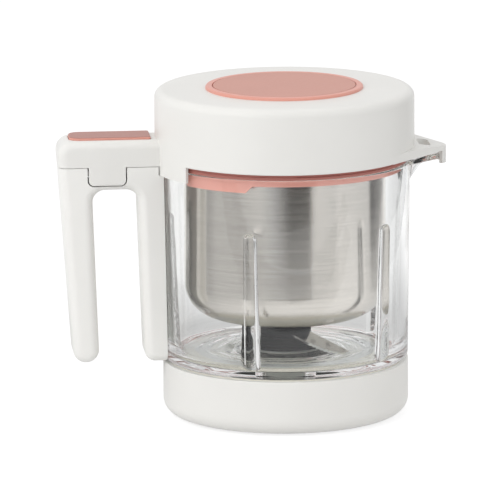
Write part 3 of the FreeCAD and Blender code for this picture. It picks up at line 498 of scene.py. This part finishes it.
def outside_at(turn, z):
    """Radius of the outside, with the spout and its nose."""
    wall = outer_radius(z)
    if z <= SPOUT_LOW or math.cos(turn) <= 0:
        return wall
    spout = spout_reach(turn, z, 0.0)
    widened = smooth_step(z, NOSE_LOW, NOSE_LOW + NOSE_BLEND)
    if widened > 0:
        spout += (nose_reach(turn) - spout) * widened
    return soft_max(wall, spout, SPOUT_BLEND)


def rib_rise(turn, z, wall):
    """How far a rib stands in from the bowl's wall."""
    rise = 0.0
    for number in range(RIB_COUNT):
        rib_turn = math.radians(FIRST_RIB + 360 / RIB_COUNT * number)
        gap = (turn - rib_turn + math.pi) % (2 * math.pi) - math.pi
        if abs(gap) > RIB_REACH:
            continue
        aside = wall * math.sin(gap)
        radius = RIB_FOOT + (RIB_TOP - RIB_FOOT) * min((z - FLOOR) / (RIB_DOME - FLOOR), 1.0)
        under = radius ** 2 - aside ** 2 - max(z - RIB_DOME, 0.0) ** 2
        rise = soft_max(0.0, math.sqrt(max(under, 0.0)) - RIB_SET, RIB_BLEND)
    return rise


def inside_at(turn, z):
    """Radius of the bowl, with its ribs, its corner and the spout."""
    wall = bowl_radius(z)
    if z > SPOUT_LOW and math.cos(turn) > 0:
        return soft_max(wall, spout_reach(turn, z, SPOUT_WALL), SPOUT_INSIDE_BLEND)
    rib = wall - rib_rise(turn, z, wall)
    drop = TROUGH + BOWL_CORNER - z
    if drop <= 0:
        return rib
    corner = floor_edge() + math.sqrt(max(BOWL_CORNER ** 2 - drop ** 2, 0.0))
    return -soft_max(-rib, -corner, RIB_BLEND)


def floor_level(turn, r):
    """Height of the bowl's floor, which falls to a shallow trough and has crossing ripples."""
    trough_start = FLANGE + TROUGH_FROM
    plain = FLOOR + (TROUGH - FLOOR) * smooth_step(r, trough_start, trough_start + TROUGH_SLOPE)
    outer_fade = (floor_edge() - RIPPLE_MARGIN - r) / RIPPLE_OUTER_FADE
    inner_fade = (r - FLANGE) / RIPPLE_INNER_FADE
    fade = max(min(outer_fade, inner_fade, 1.0), 0.0)
    swirl = math.cos(2 * math.pi * r / RIPPLE_STEP + RIPPLE_TURNS * turn)
    swirl += CROSS_SHARE * math.sin(2 * math.pi * r / CROSS_STEP - CROSS_TURNS * turn)
    highest = 1 + CROSS_SHARE
    return plain - RIPPLE * fade * (highest + swirl) / (2 * highest)


def nose_lift(r, z):
    """How much the nose's tip is raised."""
    share = max(z - NOSE_LOW, 0.0) / (RIM - NOSE_LOW)
    return NOSE_RISE * smooth_step(r, NOSE_RISE_FROM, NOSE_RISE_TO) * share


def glass_rows():
    """Rows of the jug's section, from the hole's foot round. Each gives (radius, height) at a turn."""
    rows = []
    for r in [HOLE] + steps(HOLE, FOOT_RADIUS - HEEL, count=7):
        rows.append(lambda turn, r=r: (r, FOOT))
    for lean in quarter(count=9):
        r = FOOT_RADIUS - HEEL + HEEL * math.sin(lean)
        z = FOOT + HEEL - HEEL * math.cos(lean)
        rows.append(lambda turn, r=r, z=z: (r, z))
    levels = steps(FOOT + HEEL, SPOUT_LOW, count=10)
    levels += steps(SPOUT_LOW, NOSE_LOW, count=12)
    levels += steps(NOSE_LOW, NOSE_LOW + NOSE_BLEND, count=7)
    levels += steps(NOSE_LOW + NOSE_BLEND, RIM - RIM_ROUND, count=2)
    for z in levels:
        rows.append(lambda turn, z=z: (outside_at(turn, z), z))
    for lean in quarter(count=6):
        back = RIM_ROUND * (1 - math.cos(lean))
        z = RIM - RIM_ROUND + RIM_ROUND * math.sin(lean)
        rows.append(lambda turn, back=back, z=z: (outside_at(turn, RIM) - back, z))
    for lean in [0.0] + quarter(count=5):
        back = RIM_INSIDE_ROUND * (1 - math.sin(lean))
        z = RIM - RIM_INSIDE_ROUND * (1 - math.cos(lean))
        rows.append(lambda turn, back=back, z=z: (inside_at(turn, z) + back, z))
    above_domes = RIB_DOME + RIB_TOP + FINE_ABOVE_DOME
    below_domes = RIB_DOME - FINE_BELOW_DOME
    levels = steps(RIM - RIM_INSIDE_ROUND, SPOUT_LOW, count=14)
    levels += steps(SPOUT_LOW, above_domes, count=3)
    levels += steps(above_domes, below_domes, count=14)
    levels += steps(below_domes, TROUGH + BOWL_CORNER, count=12)
    levels += [TROUGH + BOWL_CORNER * (1 - math.sin(lean)) for lean in quarter(count=14)[:-1]]
    for z in levels:
        rows.append(lambda turn, z=z: (inside_at(turn, z), z))
    for r in [floor_edge()] + steps(floor_edge(), FLANGE, count=36):
        rows.append(lambda turn, r=r: (r, floor_level(turn, r)))
    for r in steps(FLANGE, HOLE, count=3):
        rows.append(lambda turn, r=r: (r, FLOOR))
    return rows


def handle_rail():
    """Corners of the rail that the handle slides on, one end after the other."""
    half = [
        (-RAIL_ROOT, -RAIL_NECK_HALF),
        (-RAIL_NECK, -RAIL_NECK_HALF),
        (-RAIL_NECK, -RAIL_HEAD_HALF),
        (-RAIL_END, -RAIL_HEAD_HALF),
    ]
    section = half + [(x, -y) for x, y in reversed(half)]
    return [(x * MM, y * MM, z * MM) for z in (RAIL_LOW, RAIL_HIGH) for x, y in section]


def glass_jug():
    """The jug and its rail, as one piece."""
    rows = glass_rows()
    points = []
    for row in rows:
        for number in range(JUG_TURNS):
            turn = math.remainder(2 * math.pi * number / JUG_TURNS, 2 * math.pi)
            r, z = row(turn)
            z += nose_lift(r, z)
            points.append((r * math.cos(turn) * MM, r * math.sin(turn) * MM, z * MM))
    faces = []
    for number in range(len(rows)):
        following = (number + 1) % len(rows)
        faces += ring_faces(number * JUG_TURNS, following * JUG_TURNS, JUG_TURNS)
    smooth = len(faces)
    rail = handle_rail()
    corners = len(rail) // 2
    low = len(points)
    high = low + corners
    points += rail
    faces += ring_faces(high, low, corners)
    faces += end_faces(low, high, corners)
    jug = add_object("jug_glass", points, faces, smooth, MATERIALS["clear_glass"])
    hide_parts("glass_jug")
    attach(jug, "jug")


# Button's spring


def spring_coil():
    """The button's open coil."""
    low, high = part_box("button_spring")
    middle = (low + high) / 2
    wire = WIRE_RADIUS * MM
    radius = (high.y - low.y) / 2 - wire
    rise = high.z - low.z - 2 * wire
    count = SPRING_ROUNDS * SPRING_PACE
    points = []
    for number in range(count + 1):
        turn = 2 * math.pi * number / SPRING_PACE
        out = Vector((math.cos(turn), math.sin(turn), 0))
        centre = Vector((middle.x, middle.y, low.z + wire + rise * number / count)) + radius * out
        for side in range(WIRE_SIDES):
            lean = 2 * math.pi * side / WIRE_SIDES
            points.append(centre + wire * (math.cos(lean) * out + Vector((0, 0, math.sin(lean)))))
    faces = []
    for number in range(count):
        faces += ring_faces((number + 1) * WIRE_SIDES, number * WIRE_SIDES, WIRE_SIDES)
    smooth = len(faces)
    faces += end_faces(0, count * WIRE_SIDES, WIRE_SIDES)
    coil = add_object("spring_coil", points, faces, smooth, MATERIALS["plain_steel"])
    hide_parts("button_spring")
    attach(coil, "lid")
    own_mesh(coil)


glass_jug()
spring_coil()


# Studio: lengths in metres, turns in degrees from the front towards +X

WHITE = (1, 1, 1, 1)

# Pale and dark cards that stand round the jug, as turns and levels. The steel mirrors them.
CARDS = [
    (-180, 1.0), (-166, 1.0), (-162, 0.5), (-147, 0.5), (-144, 0.9), (-122, 0.85), (-112, 0.8),
    (-50, 1.0), (-34, 0.95), (-18, 0.6), (0, 0.02), (20, 0.0), (23, 0.02), (26, 1.0),
    (62, 0.9), (103, 0.9), (107, 0.0), (140, 0.05), (146, 1.0), (180, 1.0),
]
REAR_FROM = 140  # cards between these turns, on either side, are equally cool
REAR_TO = 170
REAR_COOL = 0.05
DARK_COOL = 0.06  # the other cards are cooler the darker they are
COOL_TINT = (-1.4, -0.4, 1.0)  # what cool does to red, green and blue

# Heights are the Z of a direction, and places its Y
CARD_TOP_FRONT = 0.4
CARD_TOP_REAR = 0.02
CARD_FRONT = -0.1
CARD_REAR = 0.3
CARD_SOFT_TOP = 0.3
DOME_STRENGTH = 0.85

STAGE_LEVEL = -0.0002
STAGE_SIDE = 4.0
STAGE_FRONT = -0.475
STAGE_BACK = 5.0
STAGE_RIGHT = 0.45  # the floor's right side up to the step
STAGE_STEP = 0.7  # where the floor widens on the right
STAGE_GREY = (0.8, 0.8, 0.8, 1)
STAGE_SHADOW = (0.3, 0.3, 0.3, 1)  # the share of the seen floor that shows the shadow
STAGE_GLOW = 0.8

# The floor as steel and glass show it. A strip across it has a middle and a level. From its middle it is
# even as far as its half width, and has faded out at its end.
STRIP = -0.355
STRIP_LEVEL = 0.03
STRIP_HALF = 0.03
STRIP_END = 0.04
# SHADE is a painted shadow on the floor behind the jug, which stands for the jug's own shadow where steel and
# glass show the floor.
SHADE = 0.14
SHADE_LEVEL = 0.6
SHADE_HALF = 0.03
SHADE_END = 0.2
LEFT_LEVEL = 0.6  # the floor is darker on the left
LEFT_FROM = -0.3
LEFT_TO = -0.03
BACK_FROM = 0.05  # and turns pale there too between these, towards the back
BACK_TO = 0.33

LAMP_TARGET = Vector((0, 0, 0.1))

CAMERA_AZIMUTH = -5.0
CAMERA_ELEVATION = 11.45
CAMERA_ROLL = -0.35
CAMERA_DISTANCE = 3.58
CAMERA_LENS = 456.0
CAMERA_SENSOR = 36.0
TARGET_HEIGHT = 0.0929
TARGET_LEFT = 0.0198

LIGHT_BOUNCES = 40
MIRROR_BOUNCES = 20


def studio_world():
    """Cards near the level and white above for the object, plain white for the camera."""
    world = bpy.data.worlds.new("studio")
    bpy.context.scene.world = world
    tree = Tree(world)
    split = tree.put(tree.add("SeparateXYZ"), i0=tree.add("TexCoord").outputs["Generated"])
    front = tree.math("MULTIPLY", split.outputs["Y"], -1.0)
    turn = tree.math("ARCTAN2", split.outputs["X"], front)
    ramp = tree.add("ValToRGB")
    stops = ramp.color_ramp.elements
    while len(stops) < len(CARDS):
        stops.new(0.5)
    for stop, (degrees, level) in zip(stops, CARDS):
        stop.position = (degrees + 180) / 360
        rear = REAR_FROM < abs(degrees) < REAR_TO
        cool = REAR_COOL if rear else DARK_COOL * (1 - level)
        stop.color = (*[level * (1 + tint * cool) for tint in COOL_TINT], 1)
    tree.link(tree.spread(turn, 0.0, 1.0, -math.pi, math.pi), ramp.inputs["Fac"])
    top = tree.spread(split.outputs["Y"], CARD_TOP_FRONT, CARD_TOP_REAR, CARD_FRONT, CARD_REAR)
    over = tree.spread(tree.math("SUBTRACT", split.outputs["Z"], top), 0.0, 1.0, 0.0, CARD_SOFT_TOP)
    room = tree.blend(over, ramp.outputs["Color"], WHITE)
    dome = tree.put(tree.add("Background"), Color=room, Strength=DOME_STRENGTH)
    white = tree.put(tree.add("Background"), Color=WHITE, Strength=1.0)
    seen = tree.add("LightPath").outputs["Is Camera Ray"]
    mix = tree.put(tree.add("MixShader"), i0=seen, i1=dome.outputs[0], i2=white.outputs[0])
    tree.link(mix.outputs[0], tree.add("OutputWorld").inputs["Surface"])


def floor_material():
    """White with the object's shadow for the camera, strips for steel and glass, plain for other light."""
    mat, tree = new_material("floor")
    plain = tree.put(tree.add("BsdfDiffuse"), Color=STAGE_GREY)
    shadow = tree.put(tree.add("BsdfDiffuse"), Color=STAGE_SHADOW)
    glow = tree.put(tree.add("Emission"), Color=WHITE, Strength=STAGE_GLOW)
    shown = tree.put(tree.add("AddShader"), i0=shadow.outputs[0], i1=glow.outputs[0])
    split = tree.put(tree.add("SeparateXYZ"), i0=tree.place())
    x = split.outputs["X"]
    y = split.outputs["Y"]

    def strip(middle, level, half, end):
        away = tree.math("ABSOLUTE", tree.math("SUBTRACT", y, middle))
        return tree.spread(away, level, 1.0, half, end)

    left = tree.spread(x, LEFT_LEVEL, 1.0, LEFT_FROM, LEFT_TO)
    front = tree.math("MULTIPLY", strip(STRIP, STRIP_LEVEL, STRIP_HALF, STRIP_END), left)
    level = tree.math("MAXIMUM", front, tree.spread(y, 0.0, 1.0, BACK_FROM, BACK_TO))
    level = tree.math("MULTIPLY", level, strip(SHADE, SHADE_LEVEL, SHADE_HALF, SHADE_END))
    mirrored = tree.put(tree.add("Emission"), Color=WHITE, Strength=level)
    path = tree.add("LightPath")
    bent = tree.math("MAXIMUM", path.outputs["Is Glossy Ray"], path.outputs["Is Transmission Ray"])
    mix = tree.put(tree.add("MixShader"), i0=bent, i1=plain.outputs[0], i2=mirrored.outputs[0])
    seen = path.outputs["Is Camera Ray"]
    mix = tree.put(tree.add("MixShader"), i0=seen, i1=mix.outputs[0], i2=shown.outputs[0])
    tree.link(mix.outputs[0], tree.add("OutputMaterial").inputs["Surface"])
    return mat


def studio_floor():
    """The floor ends in front of the jug and to its right, so that the steel mirrors the cards there."""
    outline = [
        (-STAGE_SIDE, STAGE_FRONT, 0),
        (STAGE_RIGHT, STAGE_FRONT, 0),
        (STAGE_RIGHT, STAGE_STEP, 0),
        (STAGE_SIDE, STAGE_STEP, 0),
        (STAGE_SIDE, STAGE_BACK, 0),
        (-STAGE_SIDE, STAGE_BACK, 0),
    ]
    floor = add_object("floor", outline, [tuple(range(len(outline)))], 0, floor_material())
    floor.location.z = STAGE_LEVEL


def towards(azimuth, elevation):
    """Unit vector from the jug to a place at a turn and a height, in degrees."""
    turn = math.radians(azimuth)
    tilt = math.radians(elevation)
    return Vector((math.sin(turn) * math.cos(tilt), -math.cos(turn) * math.cos(tilt), math.sin(tilt)))


def lamp(name, azimuth, elevation, distance, size, power):
    """Square soft lamp that looks at the jug's middle. Steel and glass don't show it."""
    light = bpy.data.lights.new(name, "AREA")
    light.size = size
    light.energy = power
    lamp_object = bpy.data.objects.new(name, light)
    bpy.context.scene.collection.objects.link(lamp_object)
    lamp_object.visible_glossy = False
    lamp_object.visible_transmission = False
    out = towards(azimuth, elevation)
    lamp_object.location = LAMP_TARGET + out * distance
    lamp_object.rotation_euler = out.to_track_quat("Z", "Y").to_euler()


def photo_camera():
    """Camera at the photograph's angle."""
    turn = math.radians(CAMERA_AZIMUTH)
    right = Vector((math.cos(turn), math.sin(turn), 0))
    back = towards(CAMERA_AZIMUTH, CAMERA_ELEVATION)
    target = Vector((0, 0, TARGET_HEIGHT)) - TARGET_LEFT * right
    data = bpy.data.cameras.new("camera")
    data.sensor_width = CAMERA_SENSOR
    data.lens = CAMERA_LENS
    camera = bpy.data.objects.new("camera", data)
    bpy.context.scene.collection.objects.link(camera)
    camera.location = target + CAMERA_DISTANCE * back
    roll = Quaternion((0, 0, 1), math.radians(CAMERA_ROLL))
    camera.rotation_euler = (back.to_track_quat("Z", "Y") @ roll).to_euler()
    bpy.context.scene.camera = camera


def light_paths():
    """Light turns many times inside the thick glass, which goes dark with too few bounces."""
    paths = bpy.context.scene.cycles
    paths.max_bounces = LIGHT_BOUNCES
    paths.transmission_bounces = LIGHT_BOUNCES
    paths.glossy_bounces = MIRROR_BOUNCES


studio_world()
studio_floor()
lamp("key", azimuth=-50, elevation=35, distance=1.6, size=1.0, power=7.5)
lamp("fill", azimuth=65, elevation=8, distance=1.8, size=1.0, power=4.0)
lamp("front", azimuth=-25, elevation=12, distance=1.8, size=1.2, power=4.0)
photo_camera()
light_paths()
bpy.context.scene.view_settings.view_transform = "Standard"
